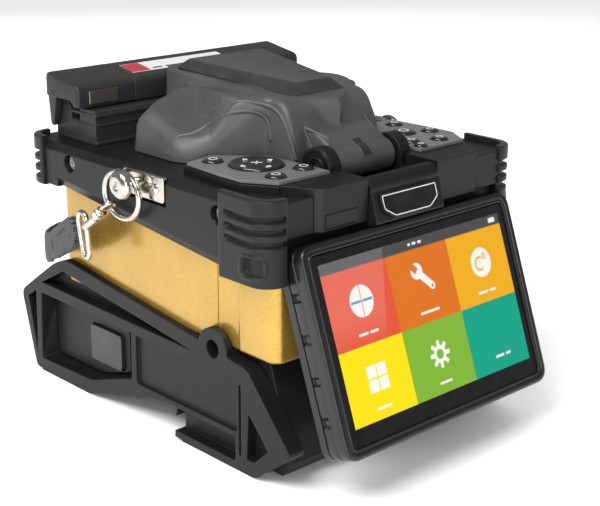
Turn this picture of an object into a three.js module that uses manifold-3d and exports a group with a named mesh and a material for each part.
// Fibre fusion splicer: a carrying base, a painted housing with a rubber bumper frame, a folding
// monitor, two key consoles, a hinged windshield over the splicing stage and a tube heater.
// Millimetres. +Z is up, -Y is the operator's side, the origin is on the floor under the stage.
import * as THREE from 'three';
import { mergeVertices } from 'three/addons/utils/BufferGeometryUtils.js';
import { ConvexGeometry } from 'three/addons/geometries/ConvexGeometry.js';
import Module from 'manifold-3d';

const wasm = await Module();
wasm.setup();

// ---------- driving dimensions ----------
const GAP = 0.3; // air between two pieces that rest on each other
const FIT = 0.5; // air around a piece that slides or turns

// painted housing
const bodyHalf = 65;
const bodyFront = -75;
const bodyRear = 70;
const bodyFloor = 51;
const bodyWall = 2.4;
const bodyCorner = 5;
const frontCoverDepth = 35;
const seamGap = 0.6;

// top deck and the bumper frame round it
const deckTop = 118;
const deckThick = 6;
const railReach = 8; // how far the rail stands out from the housing
const railFlange = 5; // how far the rail covers the housing's top edge
const railFront = 3.5;
const railRear = 11;
const railChamfer = 3;
const railLowFront = deckTop - 33.6;
const railLowRear = deckTop - 19.2;
const railLowChamfer = 5.5;
const railCorner = 9;
const screwSink = 4; // radius of the counterbored screw holes
const screwSinkDepth = 5;

// rubber corner bumpers
const cornerProud = 1.5;
const cornerThick = 3.2;
const cornerSide = 28;
const cornerFace = 11.6;
const cornerRise = 2.2;
const grooveDepth = 1.6;
const grooveHeight = 2.2;
const groovePitch = 4.8;
const rearCornerSide = 13;

// carrying base
const baseRim = 3.5; // how far the side frame stands out from the housing
const frameThick = 8;
const footPad = 1.2;
const rimRear = 62.5;
const frameRearReach = 33;
const frameFrontReach = 13;
const earRadius = 9;
const earBore = 4;
const pocketDepth = 5.5;
const panelDepth = 1.5;

// battery
const batteryNear = 26;
const batteryFar = 84;
const batteryLow = 9.8;
const batteryTop = 39;
const batteryCut = 6.6;
const batteryLength = 112;
const latchWidth = 23.5;
const latchHeight = 17;
const latchThick = 3.2;

// consoles and keys
const consoleFront = 5.7; // in front of the housing
const consoleInner = 20.7;
const consoleOuter = 48;
const consoleTop = deckTop + 3;
const consoleDrop = 17.5;
const consoleBack = 57.8;
const shelfThick = 6.7;
const plateThick = 1.2;
const keyTravel = 0.8;
const keyProud = 1.2;
const keyDepth = 2.6;
const padRadius = 11.2;
const keyRadius = 4.1;
const bigKeyRadius = 5.3;
const smallKeyRadius = 3.7;
const flapWidth = 17;
const flapHeight = 5.4;

// monitor, in its own frame: x across, y up the screen, z out of the screen
const screenTilt = 70.1; // degrees from lying flat, face up
const monitorHalf = 62;
const monitorTop = 41;
const monitorBottom = -44;
const monitorCorner = 7;
const bezelProud = 1.2;
const bezelDepth = 9.3;
const backDepth = 3.6;
const sideBorder = 4.7; // frame round the glass
const topBorder = 4.9;
const lowBorder = 4.5;
const glassHalf = monitorHalf - sideBorder;
const glassTop = monitorTop - topBorder;
const glassBottom = monitorBottom + lowBorder;
const glassThick = 1.1;
const lcdHalf = glassHalf - 1.8;
const lcdThick = 4.6;
const hingeUp = 56.5; // hinge axis up the screen from its middle
const hingeOut = -1.34;
const hingeBehind = 3.692; // hinge axis behind the consoles' front face
const hingeBelow = 5.43; // hinge axis below the consoles' top
const hingeRadius = 4.7;
const hingePinRadius = 1.8;
const armHalf = 20.1;
const badgeHalf = 16.6;
const badgeThick = 0.9;

// windshield
const hoodHalf = 26;
const hoodRear = 43.5;
const hoodFront = -43;
const hoodSlope = 9; // how far the front face leans back
const hoodTopRear = deckTop + 32;
const hoodTopFront = deckTop + 26.8;
const hoodWall = 2.4;
const wingHalf = 55;
const wingRear = 28;
const noseHalf = 17;
const hoodPinY = -54;
const hoodPinZ = deckTop + 2.5;
const hoodPinRadius = 2.2;
const earHoodRadius = 8.5;
const earHoodWidth = 6;
const capRise = 4.6;

// splicing stage
const fibreY = 7;
const stageHalf = 28;
const stageDepth = 30;
const stageRise = 5;
const carriageLength = 12;
const carriageWidth = 13;
const carriageRise = 4;
const clampThick = 3;
const clampShort = 1; // how much shorter than its carriage a clamp lid is, each end
const electrodeRadius = 0.9;

// heater
const heaterHalf = 61.6;
const heaterStepFront = 45.6; // the low step in front of the lid
const heaterStepTop = deckTop + 15.2;
const heaterFront = 54.9;
const heaterRear = 68;
const heaterTop = deckTop + 18.5;
const channelWidth = 8;
const channelDepth = 9;
const elementWall = 0.8;
const lidHalf = 66;
const lidWall = 2.4;
const lidFront = heaterFront - FIT - lidWall;
const lidRear = 77.2;
const lidHingeY = 72.5;
const lidHingeZ = deckTop + 21;
const lidBoss = 1.8;
const tagThick = 0.8;

// strap fittings
const studY = 2.6;
const studZ = deckTop - 5.7;
const studRadius = 6.3;
const postRadius = 2;
const bracketThick = 2.4;
const ringWire = 1.3;
const ringReach = 11.8;
const ringDrop = 10;
const ringCentreY = studY + 3.9;
const ringCentreZ = studZ - 5.7;
const eyeRadius = 2.9;
const eyeWire = 0.9;
const eyeTurn = THREE.MathUtils.degToRad(40); // the hook's slope below level
const eyeY = ringCentreY + ringReach * Math.cos(eyeTurn);
const eyeZ = ringCentreZ - ringDrop * Math.sin(eyeTurn);
const foldThick = 7;
const webThick = 1.8;
const webWidth = 14;

// ---------- finishes ----------
const finish = (color, roughness, metalness) => (
  new THREE.MeshStandardMaterial({ color, roughness, metalness }));
const gold = finish(0xd9bb73, 0.35, 0.6);
const blackRubber = finish(0x232325, 0.75, 0);
const blackPlastic = finish(0x1d1d20, 0.55, 0);
const greyPlastic = finish(0x5a5a5e, 0.6, 0.1);
const glossBlack = finish(0x17171a, 0.2, 0);
const silver = finish(0xa8a8ac, 0.4, 0.5);
const chrome = finish(0xd8d6cf, 0.18, 1);
const steel = finish(0x9a9a98, 0.35, 1);
const glass = finish(0x0a0a0c, 0.05, 0);
const boardGreen = finish(0x1f5a3a, 0.6, 0);
const webbing = finish(0x3a3b3e, 0.9, 0);
const ceramic = finish(0xe6e2d6, 0.5, 0);

const whole = new THREE.Group();
const splicer = new THREE.Group();
whole.add(splicer);
const monitor = new THREE.Group();
const tilt = THREE.MathUtils.degToRad(screenTilt);
const hingePinY = bodyFront - consoleFront + hingeBehind;
const hingePinZ = consoleTop - hingeBelow;
const screenY = hingePinY - hingeUp * Math.cos(tilt) + hingeOut * Math.sin(tilt);
const screenZ = hingePinZ - hingeUp * Math.sin(tilt) - hingeOut * Math.cos(tilt);
monitor.position.set(0, screenY, screenZ);
monitor.rotation.x = tilt;
splicer.add(monitor);

// ---------- solids ----------
function solidOf(geometry) {
  geometry.deleteAttribute('normal');
  geometry.deleteAttribute('uv');
  const merged = mergeVertices(geometry, 1e-4);
  return new wasm.Manifold(new wasm.Mesh({
    numProp: 3,
    vertProperties: merged.attributes.position.array,
    triVerts: new Uint32Array(merged.index.array),
  }));
}

// A point is [a, b] or [a, b, corner radius].
function shapeOf(points) {
  const shape = new THREE.Shape();
  points.forEach(([a, b, radius = 0], i) => {
    const before = points[(i + points.length - 1) % points.length];
    const after = points[(i + 1) % points.length];
    const cutBack = (other) => {
      const length = Math.hypot(other[0] - a, other[1] - b);
      const cut = Math.min(radius, length / 2) / length;
      return [a + (other[0] - a) * cut, b + (other[1] - b) * cut];
    };
    const entry = radius ? cutBack(before) : [a, b];
    if (i === 0) shape.moveTo(...entry);
    else shape.lineTo(...entry);
    if (radius) shape.quadraticCurveTo(a, b, ...cutBack(after));
  });
  shape.closePath();
  return shape;
}

function extrude(points, depth) {
  return new THREE.ExtrudeGeometry(shapeOf(points), { depth, bevelEnabled: false, curveSegments: 4 });
}

// plan: outline in (x, y), standing from z0 to z1
const plan = (points, z0, z1) => solidOf(extrude(points, z1 - z0).translate(0, 0, z0));

// profile: outline in (y, z), running from x0 to x1
function profile(points, x0, x1) {
  const turn = new THREE.Matrix4().makeBasis(
    new THREE.Vector3(0, 1, 0), new THREE.Vector3(0, 0, 1), new THREE.Vector3(1, 0, 0));
  return solidOf(extrude(points, x1 - x0).applyMatrix4(turn).translate(x0, 0, 0));
}

function block(x0, x1, y0, y1, z0, z1) {
  const box = new THREE.BoxGeometry(x1 - x0, y1 - y0, z1 - z0);
  return solidOf(box.translate((x0 + x1) / 2, (y0 + y1) / 2, (z0 + z1) / 2));
}

function rod(axis, radius, from, to, [a, b], sides = 24) {
  const bar = new THREE.CylinderGeometry(radius, radius, to - from, sides);
  const middle = (from + to) / 2;
  if (axis === 'x') return solidOf(bar.rotateZ(Math.PI / 2).translate(middle, a, b));
  if (axis === 'y') return solidOf(bar.translate(a, middle, b));
  return solidOf(bar.rotateX(Math.PI / 2).translate(a, b, middle));
}

const hull = (points) => solidOf(new ConvexGeometry(points.map((p) => new THREE.Vector3(...p))));
const mirrored = (points) => points.map(([x, ...rest]) => [-x, ...rest]);
const sided = (points, side) => (side < 0 ? points : mirrored(points).reverse());
const joined = (solids) => solids.reduce((all, next) => all.add(next));

function tube(points, radius, sides = 8, steps = 24) {
  const path = new THREE.CatmullRomCurve3(points.map((p) => new THREE.Vector3(...p)));
  const section = new THREE.Shape();
  section.absarc(0, 0, radius, 0, Math.PI * 2);
  const curveSegments = sides;
  return solidOf(new THREE.ExtrudeGeometry(section, { steps, extrudePath: path, curveSegments }));
}

function piece(name, solid, material, parent = splicer) {
  const { vertProperties, triVerts } = solid.getMesh();
  const geometry = new THREE.BufferGeometry();
  geometry.setAttribute('position', new THREE.BufferAttribute(new Float32Array(vertProperties), 3));
  geometry.setIndex(new THREE.BufferAttribute(new Uint32Array(triVerts), 1));
  geometry.computeVertexNormals();
  const mesh = new THREE.Mesh(geometry, material);
  mesh.name = name;
  parent.add(mesh);
}

const sides = [['left', -1], ['right', 1]];
const ordered = (a, b) => [Math.min(a, b), Math.max(a, b)];

// ---------- shared outlines ----------
const baseHalf = bodyHalf + baseRim;
const railHalf = bodyHalf + railReach;
const deckHalf = bodyHalf - railFlange;
const railFrontY = bodyFront - railFront;
const railRearY = bodyRear + railRear;
const consoleFaceY = bodyFront - consoleFront;
const plateTop = consoleTop + plateThick;
const shelfBottom = consoleTop - GAP - shelfThick;
const railLow = (y) => {
  const flat = bodyRear - 10;
  const rise = (railLowRear - railLowFront) / (flat - (bodyFront - 8));
  return y > flat ? railLowRear : railLowRear - (flat - y) * rise;
};

const rectangle = (x0, x1, y0, y1, corner) => [
  [x0, y0, corner], [x1, y0, corner], [x1, y1, corner], [x0, y1, corner]];
const rounded = (half, front, rear, corner) => rectangle(-half, half, front, rear, corner);
const above = (rise) => deckTop + rise;

// the room that the painted housing fills, grown by a clearance
const housingRoom = (grow) => plan(
  rounded(bodyHalf + grow, bodyFront - grow, bodyRear + grow, bodyCorner + grow),
  bodyFloor - grow, deckTop - deckThick - GAP + grow);

// the key plate's outline on the left side
const plateOutline = (grow = 0) => [
  [-bodyHalf + 4 - grow, -17 + grow], [-46 + grow, -14 + grow], [-hoodHalf - 2.6 + grow, -31 + grow],
  [-hoodHalf - 1 + grow, -65.4 - grow], [-54.5 - grow, -65.4 - grow],
  [-bodyHalf + 2.4 - grow, -52.5 - grow], [-bodyHalf + 2.4 - grow, -38.6]];

function consoleRoom(side, grow) {
  const nose = [
    [-consoleInner + grow, consoleFaceY - grow], [-consoleOuter + 2.5 - grow, consoleFaceY - grow],
    [-consoleOuter - grow, consoleFaceY + 2.2], [-56.5 - grow, -62], [-56.5 - grow, -consoleBack + grow],
    [-consoleInner + grow, -consoleBack + grow]];
  const tower = plan(sided(nose, side), consoleTop - consoleDrop - grow, consoleTop + grow);
  const shelf = plan(sided(plateOutline(0.9 + grow), side), shelfBottom - grow, consoleTop - GAP + grow);
  return tower.add(shelf);
}

// ---------- carrying base ----------
const frameFloor = footPad + GAP;
const frameOutline = [
  [bodyRear + 23, frameFloor, 2], [bodyRear + frameRearReach, 38, 4], [bodyRear + 3, 59, 6],
  [bodyRear - 6, rimRear, 3], [-33, bodyFloor, 4], [bodyFront + 13.5, 47, 4],
  [bodyFront - frameFrontReach, 17.2, 3], [bodyFront + 8, frameFloor, 2], [-14.5, frameFloor],
  [-16, 16.3, 2], [1, 14.5, 4], [48, frameFloor, 2]];
const mouthInner = [
  [batteryFar + 1, batteryLow - 0.8], [47.2, batteryLow - 0.8],
  [batteryNear - 0.8, batteryLow + batteryCut - 0.8], [batteryNear - 0.8, batteryTop + 0.8],
  [batteryFar + 1, batteryTop + 0.8]];
const mouthOuter = [[88, 7], [47, 8.2], [15.5, 19], [15, 41], [86, 41]];
const earAt = [-40.6, 49.7];

for (const [name, side] of sides) {
  const outer = side * baseHalf;
  const inner = side * (baseHalf - frameThick);
  const pocket = (outline, depth) => profile(outline, ...ordered(outer + side, outer - side * depth));
  let frame = profile(frameOutline, ...ordered(outer, inner));
  frame = frame.add(rod('x', earRadius, ...ordered(outer, inner), earAt));
  frame = frame.subtract(housingRoom(GAP));
  frame = frame.subtract(rod('x', earBore, -baseHalf - 1, baseHalf + 1, earAt, 16));
  const mouth = hull([
    ...mouthOuter.map(([y, z]) => [outer + side * 0.2, y, z]),
    ...mouthInner.map(([y, z]) => [inner - side, y, z])]);
  frame = frame.subtract(mouth);
  frame = frame.subtract(pocket([[85, 46.3, 1], [66.9, 56.2, 1], [-27.7, 44.9, 1]], pocketDepth));
  frame = frame.subtract(pocket([[97.5, 36.5, 0.5], [90.3, 41, 0.5], [91.6, 8, 0.5]], pocketDepth));
  frame = frame.subtract(pocket(rectangle(-55.5, 12, 17.8, 40.5, 1), panelDepth));
  frame = frame.subtract(pocket([[-17, 15.5], [-54.5, 15.5, 1], [-54.5, 4.5, 1], [-13, 4.5]], pocketDepth));
  frame = frame.subtract(pocket(
    [[-62.5, 28.2, 0.6], [-74.5, 15.6, 0.6], [-66, 7.6, 0.6], [-61.5, 7.6, 0.6]], pocketDepth));
  frame = frame.subtract(pocket([[-56.6, 39], [-58, 39], [-58, 8], [-56.6, 8]], pocketDepth));
  piece(`base_side_${name}`, frame, blackPlastic);
  for (const [place, y0, y1] of [['front', bodyFront + 10, -17], ['rear', 50, bodyRear + 21]]) {
    const across = ordered(outer - side, inner + side);
    piece(`foot_${place}_${name}`, plan(rectangle(...across, y0, y1, 1.5), 0, footPad), blackRubber);
  }
}

const coreHalf = baseHalf - frameThick - GAP;
const coreTop = bodyFloor - 0.4;
const coreOutline = [
  [bodyFront + 9, coreTop], [bodyFront - 5, 9], [bodyFront + 1, 2], [-14, 2], [-14, 17.5], [2, 16.5],
  [48, 2], [bodyRear + 19, 2], [bodyRear + 28, 37], [bodyRear + 3, coreTop]];
const batteryMouthX = -baseHalf + 7;
const batteryEndX = batteryMouthX + batteryLength;
let core = profile(coreOutline, -coreHalf, coreHalf);
core = core.subtract(profile(mouthInner, -coreHalf - 1, batteryEndX + FIT));
core = core.subtract(profile(
  [[bodyFront + 14, coreTop - 3], [bodyFront, 9], [bodyFront + 3, -1], [-17, -1], [-17, coreTop - 3]],
  -coreHalf + 3, coreHalf - 3));
piece('base_core', core, blackPlastic);

const batteryOutline = [
  [batteryFar, batteryLow, 1.5], [47.5, batteryLow, 1.5], [batteryNear, batteryLow + batteryCut, 1.5],
  [batteryNear, batteryTop, 1.5], [batteryFar, batteryTop, 1.5]];
const latchY = batteryNear + 4.5;
const latchZ = batteryLow + 6;
const latchFace = (grow) => rectangle(
  latchY - grow, latchY + latchWidth + grow, latchZ - grow, latchZ + latchHeight + grow, 2);
piece('battery_pack', profile(batteryOutline, batteryMouthX, batteryEndX)
  .subtract(profile(latchFace(FIT), batteryMouthX - 1, batteryMouthX + latchThick)), blackPlastic);
piece('battery_latch', profile(
  latchFace(0), batteryMouthX - latchThick / 2, batteryMouthX + latchThick / 2), glossBlack);

// ---------- painted housing ----------
const housingTop = deckTop - deckThick - GAP;
const seamY = bodyFront + frontCoverDepth;
const consoles = consoleRoom(-1, GAP).add(consoleRoom(1, GAP));
const shell = plan(rounded(bodyHalf, bodyFront, bodyRear, bodyCorner), bodyFloor, housingTop).subtract(plan(
  rounded(bodyHalf - bodyWall, bodyFront + bodyWall, bodyRear - bodyWall, bodyCorner - bodyWall),
  bodyFloor + bodyWall, housingTop + 1));
const reach = bodyHalf + 1;
const rearOfSeam = block(-reach, reach, seamY + seamGap / 2, bodyRear + 1, bodyFloor - 1, housingTop + 1);
const frontOfSeam = block(-reach, reach, bodyFront - 1, seamY - seamGap / 2, bodyFloor - 1, housingTop + 1);
const bridge = block(-consoleInner - 1, consoleInner + 1, bodyFront - 1, -consoleBack,
  consoleTop - consoleDrop - 1, housingTop + 1);
piece('rear_housing', shell.intersect(rearOfSeam), gold);
piece('front_housing', shell.intersect(frontOfSeam).subtract(consoles).subtract(bridge), gold);

const boardTop = bodyFloor + 14;
piece('main_board', joined([
  block(-55, 55, -30, 62, boardTop - 1.6, boardTop),
  block(-20, 5, 0, 25, boardTop - 0.1, boardTop + 2.5),
  block(18, 34, -12, 6, boardTop - 0.1, boardTop + 3),
  block(-48, -36, 20, 55, boardTop - 0.1, boardTop + 9)]), boardGreen);

// ---------- bumper frame and its rubber corners ----------
function cornerRoom(side, end, grow) {
  const half = railHalf + cornerProud + grow;
  const faceY = end < 0 ? railFrontY - cornerProud - grow : railRearY + cornerProud + grow;
  const far = end < 0 ? railFrontY + 300 : railRearY - 300;
  const outlineOf = (h, y, corner) => (end < 0
    ? [[-h, y, corner], [h, y, corner], [h, far], [-h, far]]
    : [[-h, far], [h, far], [h, y, corner], [-h, y, corner]]);
  const low = railLow(end < 0 ? railFrontY + 12 : railRearY) - 1 - grow;
  const high = deckTop + cornerRise + grow;
  const skin = cornerThick + 2 * grow;
  let ring = plan(outlineOf(half, faceY, railCorner + 1), low, high);
  ring = ring.subtract(plan(outlineOf(half - skin, faceY - end * skin, railCorner - 2), low - 1, high + 1));
  const length = (end < 0 ? cornerSide : rearCornerSide) + grow;
  const y0 = end < 0 ? faceY - 1 : faceY - length;
  const y1 = end < 0 ? faceY + length : faceY + 1;
  const innerX = half - cornerFace - grow;
  return ring.intersect(block(...ordered(side * (half + 1), side * innerX), y0, y1, low - 1, high + 1));
}

const railOutline = rounded(railHalf, railFrontY, railRearY, railCorner);
let rail = plan(railOutline, above(-38), deckTop);
rail = rail.subtract(profile([[-120, 70], [120, 70], [120, railLowRear], [bodyRear - 10, railLowRear],
  [-120, railLow(-120)]], -railHalf - 2, railHalf + 2));
for (const side of [-1, 1]) {
  const x = (v) => side * v;
  const slanted = [];
  for (const y of [-120, bodyRear - 10]) {
    slanted.push([x(railHalf + 2), y, railLow(y) + railLowChamfer + 2], [x(railHalf + 2), y, railLow(y) - 12],
      [x(railHalf - 3.2), y, railLow(y) - 12], [x(railHalf - 3.2), y, railLow(y) - 0.6]);
  }
  rail = rail.subtract(hull(slanted));
  const crease = [];
  for (const y of [-120, 120]) {
    crease.push([x(railHalf + 2), y, deckTop - railChamfer - 2], [x(railHalf + 2), y, deckTop + 5],
      [x(railHalf - railChamfer), y, deckTop + 5], [x(railHalf - railChamfer), y, deckTop]);
  }
  rail = rail.subtract(hull(crease));
  const recess = ordered(x(railHalf - bracketThick), x(railHalf + 2));
  rail = rail.subtract(block(...recess, studY - 20.5, studY + 9, studZ - 6.8, deckTop + 1));
  for (const hole of [[50.5, above(-7.1)], [-50, above(-8.6)]]) {
    const sunk = ordered(x(railHalf - screwSinkDepth), x(railHalf + 2));
    rail = rail.subtract(rod('x', screwSink, ...sunk, hole));
  }
}
rail = rail.subtract(housingRoom(GAP));
rail = rail.subtract(block(-deckHalf, deckHalf, -consoleBack - GAP, bodyRear - 4, 70, deckTop + 1));
rail = rail.subtract(consoles);
rail = rail.subtract(block(
  -monitorHalf - 0.6, monitorHalf + 0.6, -120, bodyFront, 70, consoleTop - consoleDrop));
rail = rail.subtract(block(-consoleOuter, consoleOuter, -120, -consoleBack, 70, deckTop + 1));
for (const side of [-1, 1]) {
  for (const end of [-1, 1]) rail = rail.subtract(cornerRoom(side, end, GAP));
}
piece('bumper_frame', rail, blackPlastic);

for (const [name, side] of sides) {
  for (const [place, end] of [['front', -1], ['rear', 1]]) {
    const faceY = end < 0 ? railFrontY - cornerProud : railRearY + cornerProud;
    let corner = cornerRoom(side, end, 0);
    const length = end < 0 ? cornerSide - 9 : rearCornerSide;
    const grooved = corner.intersect(
      block(-100, 100, ...ordered(faceY + end * 2, faceY - end * length), 0, deckTop));
    const floorHalf = railHalf + cornerProud - grooveDepth;
    const floorY = faceY - end * grooveDepth;
    const floorRoom = end < 0 ? [floorY, 100] : [-100, floorY];
    const grooveFloor = plan(rectangle(-floorHalf, floorHalf, ...floorRoom, railCorner), 60, above(22));
    for (let i = 0; i < 3; i += 1) {
      const z = deckTop - 6 - i * groovePitch;
      const slice = block(-100, 100, -200, 200, z - grooveHeight / 2, z + grooveHeight / 2);
      corner = corner.subtract(grooved.intersect(slice).subtract(grooveFloor));
    }
    piece(`corner_${place}_${name}`, corner, blackRubber);
  }
}

// ---------- top deck ----------
const earInner = noseHalf + 0.6;
let deck = block(
  -deckHalf + GAP, deckHalf - GAP, -consoleBack, bodyRear - 4 - GAP, deckTop - deckThick, deckTop);
deck = deck.add(block(-consoleInner + GAP, consoleInner - GAP, bodyFront + 3.5, -consoleBack + 1,
  consoleTop - consoleDrop, deckTop - 2));
deck = deck.subtract(consoles);
for (const side of [-1, 1]) {
  const across = ordered(side * earInner, side * (earInner + earHoodWidth));
  const ear = [[hoodPinY - earHoodRadius, deckTop - 3], [hoodPinY + earHoodRadius, deckTop - 3],
    [hoodPinY + earHoodRadius, hoodPinZ], [hoodPinY - earHoodRadius, hoodPinZ]];
  deck = deck.add(profile(ear, ...across));
  deck = deck.add(rod('x', earHoodRadius, ...across, [hoodPinY, hoodPinZ]));
}
deck = deck.subtract(block(-earInner, earInner, hoodPinY - 12.5, hoodFront + 1.5, 90, deckTop + 30));
deck = deck.subtract(consoles);
deck = deck.subtract(rod('x', hoodPinRadius + GAP, -40, 40, [hoodPinY, hoodPinZ]));
piece('top_deck', deck, blackPlastic);
const hoodPinHalf = earInner + earHoodWidth - 0.5;
piece('windshield_pin', rod('x', hoodPinRadius, -hoodPinHalf, hoodPinHalf, [hoodPinY, hoodPinZ]), steel);

// ---------- consoles, key plates and keys ----------
const keysLeft = [
  ['dpad', -42.6, -39, padRadius], ['key_left_rear', -52, -22.8, keyRadius],
  ['key_left_inner', -32.2, -55.6, keyRadius], ['key_left_front', -49.4, -58, keyRadius]];
const keysRight = [
  ['key_right_rear', 53.9, -25, smallKeyRadius], ['key_right_large', 44.8, -39.2, bigKeyRadius],
  ['key_right_outer', 56.2, -44.6, smallKeyRadius], ['key_right_front', 47.4, -58, smallKeyRadius],
  ['key_right_inner', 34.4, -53.2, smallKeyRadius], ['key_right_corner', 31.6, -61.3, 2.8]];
const hingePin = [hingePinY, hingePinZ];
const hingePinReach = consoleInner + 3.8;
const flapLeft = -consoleOuter + 4;
const flapLow = consoleTop - consoleDrop + 1.2;
for (const [name, side] of sides) {
  const keys = side < 0 ? keysLeft : keysRight;
  let body = consoleRoom(side, 0);
  let plate = plan(sided(plateOutline(), side), consoleTop, plateTop);
  const keyLow = plateTop + keyProud - keyDepth - plateThick;
  for (const [, x, y, radius] of keys) {
    body = body.subtract(rod('z', radius + FIT, keyLow - keyTravel - GAP, consoleTop + 1, [x, y]));
    plate = plate.subtract(rod('z', radius + FIT, consoleTop - 1, plateTop + 1, [x, y]));
  }
  body = body.subtract(plan(sided(plateOutline(GAP), side), consoleTop - GAP, consoleTop + 1));
  body = body.subtract(rod('x', hingePinRadius + GAP, -hingePinReach, hingePinReach, hingePin));
  if (side < 0) {
    body = body.subtract(block(flapLeft - GAP, flapLeft + flapWidth + GAP, consoleFaceY - 1,
      consoleFaceY + 1.2 + GAP, flapLow - GAP, flapLow + flapHeight + GAP));
  }
  piece(`console_${name}`, body, blackPlastic);
  piece(`key_plate_${name}`, plate, silver);
  for (const [key, x, y, radius] of keys) {
    const low = rod('z', radius, keyLow, plateTop + keyProud - 0.6, [x, y]);
    const crown = rod('z', radius * 0.9, plateTop, plateTop + keyProud, [x, y]);
    piece(key, low.add(crown), glossBlack);
  }
}
piece('port_flap', block(flapLeft, flapLeft + flapWidth, consoleFaceY - 0.2, consoleFaceY + 1.2,
  flapLow, flapLow + flapHeight), blackRubber);
piece('monitor_pin', rod(
  'x', hingePinRadius, -hingePinReach + GAP, hingePinReach - GAP, hingePin), steel);

// ---------- monitor ----------
const wallAt = (up) => (screenY + up * Math.cos(tilt) - bodyFront + FIT) / Math.sin(tilt);
const behindWall = profile([[0, wallAt(0)], [80, wallAt(80)], [80, -60], [0, -60]], -80, 80);
const screenRing = (half, top, bottom, corner) => [
  [-half, bottom, corner], [half, bottom, corner], [half, top, corner], [-half, top, corner]];
const bezelOutline = screenRing(monitorHalf, monitorTop, monitorBottom, monitorCorner);
const glassHole = screenRing(glassHalf + GAP, glassTop + GAP, glassBottom - GAP, 2);
piece('monitor_bezel', plan(bezelOutline, -bezelDepth, bezelProud)
  .subtract(plan(glassHole, -bezelDepth - 1, bezelProud + 1)).subtract(behindWall), blackRubber, monitor);
const lcdOutline = screenRing(lcdHalf, glassTop - 1.5, glassBottom + 4, 1);
const panel = plan(screenRing(glassHalf, glassTop, glassBottom, 2), -glassThick, 0)
  .add(plan(lcdOutline, -glassThick - lcdThick, -glassThick / 2));
piece('display_panel', panel, glass, monitor);
const backRoom = screenRing(monitorHalf - 3, monitorTop - 3, monitorBottom + 3, monitorCorner - 3);
const backFloor = -bezelDepth - GAP - backDepth;
piece('monitor_back', plan(bezelOutline, backFloor, -bezelDepth - GAP)
  .subtract(plan(backRoom, backFloor + 1.6, -bezelDepth)).subtract(behindWall), blackPlastic, monitor);
const armFoot = monitorTop + GAP;
const armFace = 2.8;
const armOutline = [
  [armFoot, -9], [armFoot, 2.2, 1], [hingeUp - 6, armFace, 2], [hingeUp, armFace], [hingeUp + 2, -5],
  [hingeUp - 4, -9]];
let arm = profile(armOutline, -armHalf, armHalf);
arm = arm.add(rod('x', hingeRadius, -armHalf, armHalf, [hingeUp, hingeOut]));
arm = arm.subtract(behindWall);
arm = arm.subtract(rod('x', hingePinRadius + GAP, -armHalf - 1, armHalf + 1, [hingeUp, hingeOut]));
piece('monitor_arm', arm, blackPlastic, monitor);
const badgeOutline = [
  [-badgeHalf, hingeUp - 3.5], [-badgeHalf, armFoot + 4.5], [-badgeHalf + 6, armFoot + 1],
  [badgeHalf - 6, armFoot + 1], [badgeHalf, armFoot + 4.5], [badgeHalf, hingeUp - 3.5]];
piece('hinge_badge', plan(badgeOutline, armFace + GAP, armFace + GAP + badgeThick), glossBlack, monitor);

// ---------- windshield ----------
const hoodFloor = deckTop + GAP;
function hoodBody(inset, floor) {
  const half = hoodHalf - inset;
  const coreProfile = [
    [hoodRear - inset, floor], [hoodRear - inset, hoodTopRear - inset],
    [hoodFront + hoodSlope + inset, hoodTopFront - inset], [hoodFront + inset, above(3.7)],
    [hoodFront + inset, floor]];
  const all = [profile(coreProfile, -half, half)];
  for (const side of [-1, 1]) {
    const wing = [
      [18, wingRear - inset, floor], [wingHalf - inset, wingRear - inset, floor],
      [wingHalf - inset, 8, floor], [wingHalf - 6 - inset, inset, floor],
      [half, -27.5 + inset, floor], [18, -27.5 + inset, floor],
      [18, wingRear - 1.5 - inset, above(29) - inset],
      [wingHalf - 5 - inset, wingRear - 1.8 - inset, above(29) - inset],
      [wingHalf - 0.6 - inset, wingRear - 3 - inset, above(26.3) - inset],
      [wingHalf - 0.6 - inset, 9, above(21) - inset],
      [wingHalf - 6.3 - inset, 1 + inset, above(11.3) - inset],
      [half, -27.3 + inset, above(20.2) - inset]];
    all.push(hull(wing.map(([x, y, z]) => [side * x, y, z])));
  }
  return joined(all);
}
const noseProfile = [
  [hoodFront + 3, hoodFloor + 1], [hoodFront + 3, above(16.4)], [hoodFront - 7.8, above(13.2), 2],
  [hoodPinY - 3, above(9.6), 2], [hoodPinY - 7.2, above(3.3), 2], [hoodPinY - 6.5, above(-1.5), 2],
  [hoodPinY, above(-4.5), 2], [hoodPinY + 7, above(-3.5), 2]];
let hood = hoodBody(0, hoodFloor).subtract(hoodBody(hoodWall, 60));
hood = hood.add(profile(noseProfile, -noseHalf, noseHalf).subtract(hoodBody(hoodWall, 60)));
hood = hood.subtract(rod('x', hoodPinRadius + GAP, -noseHalf - 1, noseHalf + 1, [hoodPinY, hoodPinZ]));
for (const side of [-1, 1]) {
  const across = ordered(side * (wingHalf - 12), side * (wingHalf + 2));
  hood = hood.subtract(block(...across, fibreY - 3, fibreY + 3, hoodFloor - 1, above(6.5)));
}
piece('windshield_hood', hood, greyPlastic);

const hoodRise = (hoodTopRear - hoodTopFront) / (hoodRear - hoodFront - hoodSlope);
const hoodTop = (y) => hoodTopFront + (y - hoodFront - hoodSlope) * hoodRise;
const capCorner = (x, y, rise) => [x, y, hoodTop(y) + GAP + rise];
const cap = [];
for (const side of [-1, 1]) {
  cap.push(capCorner(side * 15, -31.8, 0), capCorner(side * (hoodHalf - 1), 36, 0),
    capCorner(side * 10.8, -27.8, capRise), capCorner(side * (hoodHalf - 4), 31, capRise));
}
piece('windshield_cap', hull(cap), glossBlack);

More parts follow.
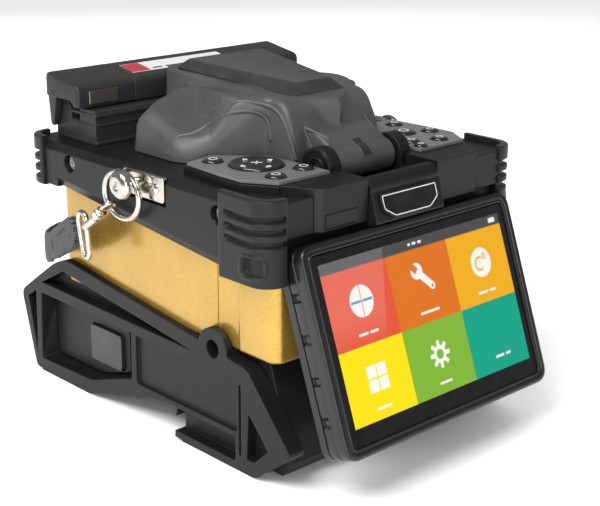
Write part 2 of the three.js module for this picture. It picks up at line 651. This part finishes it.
// ---------- splicing stage ----------
const stageFloor = deckTop + GAP;
const stageTop = stageFloor + stageRise;
let stage = block(
  -stageHalf, stageHalf, fibreY - stageDepth / 2, fibreY + stageDepth / 2, stageFloor, stageTop);
const fibreGroove = (top, depth, x0, x1) => profile(
  [[fibreY, top - depth], [fibreY + depth + 0.2, top + 0.4], [fibreY - depth - 0.2, top + 0.4]], x0, x1);
stage = stage.subtract(fibreGroove(stageTop, 1.4, -stageHalf - 1, stageHalf + 1));
stage = stage.subtract(block(-6, 6, fibreY - 5, fibreY + 5, stageTop - 3.4, stageTop + 1));
piece('stage_block', stage, steel);
for (const [place, end] of [['front', -1], ['rear', 1]]) {
  const tip = fibreY + end * 1.2;
  const back = fibreY + end * 8;
  const far = fibreY + end * 15;
  piece(`electrode_${place}`, rod('y', electrodeRadius, ...ordered(tip, back + end), [0, stageTop + 2.2], 12)
    .add(block(-4, 4, ...ordered(back, far), stageTop + GAP, stageTop + 4.6)), ceramic);
}
for (const [name, side] of sides) {
  const x = ordered(side * (stageHalf + 3), side * (stageHalf + 3 + carriageLength));
  const y0 = fibreY - carriageWidth / 2;
  const y1 = fibreY + carriageWidth / 2;
  const top = stageFloor + carriageRise;
  const groove = fibreGroove(top, 1, x[0] - 1, x[1] + 1);
  piece(`fibre_carriage_${name}`, block(...x, y0, y1, stageFloor, top).subtract(groove), steel);
  const clampOutline = rectangle(x[0] + clampShort, x[1] - clampShort, y0, y1 - 1, 2);
  piece(`sheath_clamp_${name}`, plan(clampOutline, top + GAP, top + GAP + clampThick), blackPlastic);
}

// ---------- heater ----------
const heaterFloor = deckTop + GAP;
const channelY = (heaterFront + heaterRear) / 2;
let heater = profile([
  [heaterStepFront, heaterFloor], [heaterRear, heaterFloor], [heaterRear, heaterTop],
  [heaterFront, heaterTop], [heaterFront, heaterStepTop], [heaterStepFront, heaterStepTop, 1.5]],
-heaterHalf, heaterHalf);
heater = heater.subtract(block(-heaterHalf - 1, heaterHalf + 1,
  channelY - channelWidth / 2, channelY + channelWidth / 2, heaterTop - channelDepth, heaterTop + 1));
const cheek = [[heaterRear - 4, heaterFloor], [lidHingeY + 3, heaterFloor], [lidHingeY + 3, lidHingeZ],
  [lidHingeY - 3, lidHingeZ], [heaterRear - 4, heaterTop - 4]];
for (const side of [-1, 1]) {
  const x = ordered(side * (heaterHalf - 4), side * heaterHalf);
  const boss = ordered(side * (heaterHalf - 1), side * (heaterHalf + 3));
  heater = heater.add(profile(cheek, ...x)).add(rod('x', 3.1, ...x, [lidHingeY, lidHingeZ]));
  heater = heater.add(rod('x', lidBoss, ...boss, [lidHingeY, lidHingeZ], 16));
}
piece('heater_base', heater, blackPlastic);
const elementHalf = channelWidth / 2 - GAP;
const elementLow = heaterTop - channelDepth + GAP;
const uOutline = [
  [channelY - elementHalf, elementLow], [channelY + elementHalf, elementLow],
  [channelY + elementHalf, heaterTop], [channelY + elementHalf - elementWall, heaterTop],
  [channelY + elementHalf - elementWall, elementLow + elementWall],
  [channelY - elementHalf + elementWall, elementLow + elementWall],
  [channelY - elementHalf + elementWall, heaterTop], [channelY - elementHalf, heaterTop]];
piece('heater_element', profile(uOutline, -heaterHalf + 6, heaterHalf - 6), steel);

const lidLow = heaterTop + 0.4;
const lidSkirt = heaterStepTop + GAP + 0.4; // the front edge hangs down in front of the tube channel
const lidOutline = [
  [lidFront, lidSkirt, 1.5], [lidFront, above(24.4), 1.2], [lidFront + 2.5, above(26.2), 1.5],
  [lidRear - 3, above(29.6), 2], [lidRear, above(27.6), 2], [lidRear, lidLow], [lidFront + 9, lidSkirt]];
const lidRoom = [
  [lidFront + lidWall, lidSkirt - 2], [lidFront + lidWall, above(23)], [lidRear - 3, above(26.9)],
  [lidRear - 1.2, above(26)], [lidRear - 1.2, lidSkirt - 2]];
const lidInner = heaterHalf + 0.4;
let lid = profile(lidOutline, -lidHalf, lidHalf).subtract(profile(lidRoom, -lidInner, lidInner));
for (const side of [-1, 1]) {
  const leg = [
    [lidHingeY - 3.5, lidLow + 1], [lidHingeY + 3, lidLow + 1], [lidHingeY + 1.5, above(6)],
    [lidHingeY - 0.5, above(5)]];
  lid = lid.add(profile(leg, ...ordered(side * lidInner, side * lidHalf)));
  const hole = ordered(side * (lidInner - 1), side * (heaterHalf + 3.4));
  lid = lid.subtract(rod('x', lidBoss + GAP, ...hole, [lidHingeY, lidHingeZ], 16));
}
for (const side of [-1, 1]) {
  const x = ordered(side * (heaterHalf - 4 - FIT), side * lidInner);
  lid = lid.subtract(block(...x, lidRear - 2, lidRear + 1, lidLow - 1, lidHingeZ + 4.4));
}
piece('heater_lid', lid, blackPlastic);
const tagFace = lidFront - GAP;
piece('heater_tag', plan(
  rectangle(-heaterHalf + 1.2, -heaterHalf + 16.7, tagFace - tagThick, tagFace, 0.2),
  lidSkirt + 1.6, above(23.2)), silver);

// ---------- strap fittings ----------
const plateFace = railHalf + GAP;
const ringX = plateFace + 3.6;
const hookX = plateFace + 5.4;
const turned = (geometry, x, y, z) => geometry.applyMatrix4(
  new THREE.Matrix4().makeTranslation(x, y, z));

// an oval ring standing in the plane x = ringX
function ovalRing(side) {
  const loop = new THREE.TorusGeometry(1, ringWire / ringReach, 8, 36).rotateY(Math.PI / 2);
  loop.scale(ringReach, ringReach, ringDrop);
  return solidOf(turned(loop, side * ringX, ringCentreY, ringCentreZ));
}

// the hook's eye closes round the ring's wire, square to it
function hookEye(side) {
  const eye = new THREE.TorusGeometry(eyeRadius, eyeWire, 8, 20);
  eye.rotateY(Math.PI / 2).rotateZ(Math.PI / 2).rotateX(-eyeTurn + Math.PI / 2);
  return solidOf(turned(eye, side * (ringX + 0.5), eyeY, eyeZ));
}

for (const [name, side] of sides) {
  const x = (v) => side * v;
  const span = (a, b) => ordered(x(a), x(b));
  const post = [studY, studZ];
  piece(`strap_bracket_${name}`, joined([
    block(...span(plateFace - bracketThick, plateFace), studY - 19.5, studY + 7.5, studZ - 5.5, studZ + 5.2),
    rod('x', postRadius, ...span(plateFace - 0.5, plateFace + 7), post, 16),
    rod('x', studRadius, ...span(plateFace + 5.4, plateFace + 8), post, 20),
    rod('x', studRadius * 0.72, ...span(plateFace + 7.5, plateFace + 9.6), post, 20)]), chrome);
  piece(`strap_ring_${name}`, ovalRing(side), chrome);
  const shankX = x(ringX + 0.6);
  const shankFrom = [shankX, eyeY + eyeRadius * Math.cos(eyeTurn), eyeZ - eyeRadius * Math.sin(eyeTurn)];
  const shank = tube(
    [shankFrom, [x(hookX), 24, 92.4], [x(hookX), 28, 89.8], [x(hookX), 31.2, 87.4]], 2.2, 8, 8);
  const loop = tube([[30.5, 92.5], [35, 93.2], [36.4, 90], [34, 78], [33, 74.4], [29.6, 75.2], [29.8, 80],
    [30.5, 88]].map(([y, z]) => [x(hookX), y, z]), 1.2, 8, 20);
  piece(`snap_hook_${name}`, joined([hookEye(side), shank, loop]), chrome);
}

// the strap: folded and sewn at each hook, one band behind the housing between the folds
const strapHalf = [
  [hookX, 57.5, 72.6], [hookX, 61.5, 71], [hookX - 2.4, 67, 70.2], [railHalf - 3.6, bodyRear + 2.4, 70],
  [bodyHalf - 3, bodyRear + 6.4, 69.6], [30, bodyRear + 9, 69], [0, bodyRear + 9.4, 68.8]];
const otherHalf = strapHalf.slice(0, -1).reverse().map(([x, y, z]) => [-x, y, z]);
const strapLine = new THREE.CatmullRomCurve3(
  [...strapHalf, ...otherHalf].map((p) => new THREE.Vector3(...p)));

// a flat band along a line, its width kept upright
function band(line, steps) {
  const positions = [];
  const index = [];
  for (let i = 0; i <= steps; i += 1) {
    const at = line.getPointAt(i / steps);
    const along = line.getTangentAt(i / steps);
    const out = new THREE.Vector3(along.y, -along.x, 0).normalize().multiplyScalar(webThick / 2);
    for (const [o, z] of [[-1, -1], [1, -1], [1, 1], [-1, 1]]) {
      positions.push(at.x + o * out.x, at.y + o * out.y, at.z + (z * webWidth) / 2);
    }
  }
  const quad = (a, b, c, d) => index.push(a, c, b, a, d, c);
  for (let i = 0; i < steps; i += 1) {
    for (let k = 0; k < 4; k += 1) {
      const n = (k + 1) % 4;
      quad(4 * i + k, 4 * i + n, 4 * i + 4 + n, 4 * i + 4 + k);
    }
  }
  const last = 4 * steps;
  quad(3, 2, 1, 0);
  quad(last, last + 1, last + 2, last + 3);
  const geometry = new THREE.BufferGeometry();
  geometry.setAttribute('position', new THREE.BufferAttribute(new Float32Array(positions), 3));
  geometry.setIndex(index);
  return geometry;
}

const fold = [[41.2, 91, 3], [38.2, 84, 1], [38, 77, 3], [56.5, 66.2, 3], [60.6, 78, 3]];
piece('shoulder_strap', joined([
  solidOf(band(strapLine, 60)),
  profile(fold, hookX - foldThick / 2, hookX + foldThick / 2),
  profile(fold, -hookX - foldThick / 2, -hookX + foldThick / 2)]), webbing);

const middle = new THREE.Box3().setFromObject(splicer).getCenter(new THREE.Vector3());
splicer.position.y = -middle.y;

export default whole;
